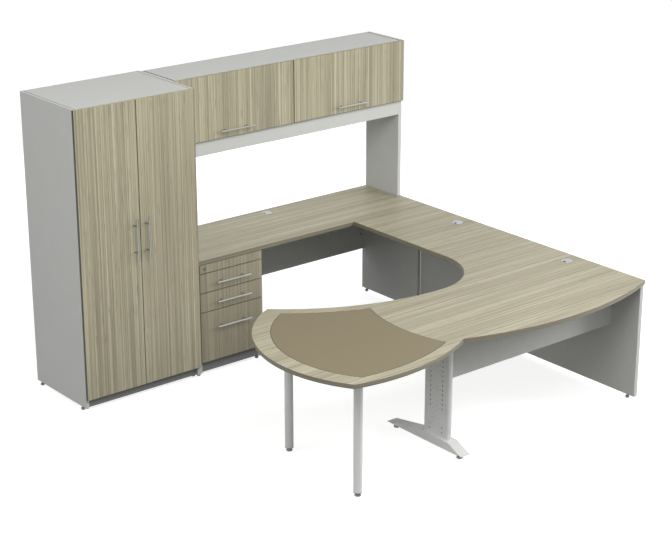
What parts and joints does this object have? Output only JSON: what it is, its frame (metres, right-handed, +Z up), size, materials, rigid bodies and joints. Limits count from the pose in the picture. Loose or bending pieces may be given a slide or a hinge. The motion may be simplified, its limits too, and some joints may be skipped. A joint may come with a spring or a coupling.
{
  "type": "executive desk workstation",
  "caption": "U-shaped executive desk with tall wardrobe, credenza, drawer pedestal, flip-door hutch, bridge and bow-front desk with a shield-shaped conference end.",
  "frame": {"origin": "on the floor, in the middle of the whole outline seen from above", "axes": "+Z up, +X to the right as the visitor sees it, the visitor stands at -Y and the wall is at +Y"},
  "size_m": [2.6, 2.579, 1.8],
  "materials": {
    "woodgrain_board": "pale olive-beige straight-grain laminate on board with matching edge band",
    "grey_board": "light grey melamine board with a very fine speckle",
    "tan_pad": "smooth tan writing surface, matte",
    "silver_paint": "light silver-grey powder coat",
    "black_paint": "black powder coat",
    "satin_steel": "satin nickel",
    "zinc_fittings": "bright zinc plate",
    "chrome": "polished chrome",
    "cast_outlets": "satin silver die casting"
  },
  "bodies": {
    "workstation": {"wardrobe_sides": "grey_board", "wardrobe_decks": "grey_board", "wardrobe_back": "grey_board", "plinths": "grey_board", "wardrobe_shelves": "grey_board", "shelf_pins": "zinc_fittings", "coat_rail": "chrome", "hinge_arms": "zinc_fittings", "pedestal_carcass": "grey_board", "lock_rail": "woodgrain_board", "lock_housing": "chrome", "drawer_rails": "zinc_fittings", "credenza_top": "woodgrain_board", "credenza_modesty": "grey_board", "credenza_gable": "grey_board", "hutch_uprights": "grey_board", "hutch_decks": "grey_board", "hutch_back": "grey_board", "hutch_valance": "grey_board", "bridge_top": "woodgrain_board", "bridge_gable": "grey_board", "desk_top": "woodgrain_board", "desk_pad": "tan_pad", "desk_gable": "grey_board", "desk_modesty": "grey_board", "leg_column": "silver_paint", "leg_cover": "silver_paint", "leg_foot": "silver_paint", "post_legs": "silver_paint", "mounting_plates": "black_paint", "levelling_glides": "chrome", "grommet_liners": "cast_outlets"},
    "wardrobe_left": {"wardrobe_door_left": "woodgrain_board", "wardrobe_handle_left": "satin_steel", "wardrobe_hinges_left": "zinc_fittings"},
    "wardrobe_right": {"wardrobe_door_right": "woodgrain_board", "wardrobe_handle_right": "satin_steel", "wardrobe_hinges_right": "zinc_fittings"},
    "hutch_left": {"hutch_door_left": "woodgrain_board", "hutch_handle_left": "satin_steel", "hutch_hinges_left": "zinc_fittings"},
    "hutch_right": {"hutch_door_right": "woodgrain_board", "hutch_handle_right": "satin_steel", "hutch_hinges_right": "zinc_fittings"},
    "drawer_top": {"drawer_front_top": "woodgrain_board", "drawer_box_top": "grey_board", "drawer_handle_top": "satin_steel", "drawer_runners_top": "zinc_fittings"},
    "drawer_middle": {"drawer_front_middle": "woodgrain_board", "drawer_box_middle": "grey_board", "drawer_handle_middle": "satin_steel", "drawer_runners_middle": "zinc_fittings"},
    "drawer_file": {"drawer_front_file": "woodgrain_board", "drawer_box_file": "grey_board", "drawer_handle_file": "satin_steel", "drawer_runners_file": "zinc_fittings"},
    "lock_core": {"lock_barrel": "satin_steel"},
    "cap_credenza": {"grommet_cap_credenza": "cast_outlets"},
    "cap_bridge": {"grommet_cap_bridge": "cast_outlets"},
    "cap_desk": {"grommet_cap_desk": "cast_outlets"}
  },
  "joints": [
    {"name": "wardrobe_left_hinge", "type": "hinge", "parent": "workstation", "child": "wardrobe_left", "pos_m": [-1.2917, 0.72039, 0.94], "axis": [0, 0, -1], "range_deg": [0, 90]},
    {"name": "wardrobe_right_hinge", "type": "hinge", "parent": "workstation", "child": "wardrobe_right", "pos_m": [-0.5083, 0.72039, 0.94], "axis": [0, 0, 1], "range_deg": [0, 90]},
    {"name": "hutch_left_hinge", "type": "hinge", "parent": "workstation", "child": "hutch_left", "pos_m": [-0.05, 0.95239, 1.7867], "axis": [-1, 0, 0], "range_deg": [0, 90]},
    {"name": "hutch_right_hinge", "type": "hinge", "parent": "workstation", "child": "hutch_right", "pos_m": [0.85, 0.95239, 1.7867], "axis": [-1, 0, 0], "range_deg": [0, 90]},
    {"name": "drawer_top_slide", "type": "slide", "parent": "workstation", "child": "drawer_top", "axis": [0, -1, 0], "range_m": [0, 0.33]},
    {"name": "drawer_middle_slide", "type": "slide", "parent": "workstation", "child": "drawer_middle", "axis": [0, -1, 0], "range_m": [0, 0.33]},
    {"name": "drawer_file_slide", "type": "slide", "parent": "workstation", "child": "drawer_file", "axis": [0, -1, 0], "range_m": [0, 0.38]},
    {"name": "lock_turn", "type": "hinge", "parent": "workstation", "child": "lock_core", "pos_m": [-0.458, 0.72359, 0.6945], "axis": [0, -1, 0], "range_deg": [0, 90]},
    {"name": "cap_credenza_turn", "type": "hinge", "parent": "workstation", "child": "cap_credenza", "pos_m": [0.3843, 1.22159, 0.75], "axis": [0, 0, 1], "continuous": true},
    {"name": "cap_bridge_turn", "type": "hinge", "parent": "workstation", "child": "cap_bridge", "pos_m": [1.196, 0.29959, 0.75], "axis": [0, 0, 1], "continuous": true},
    {"name": "cap_desk_turn", "type": "hinge", "parent": "workstation", "child": "cap_desk", "pos_m": [1.196, -0.64141, 0.75], "axis": [0, 0, 1], "continuous": true}
  ]
}
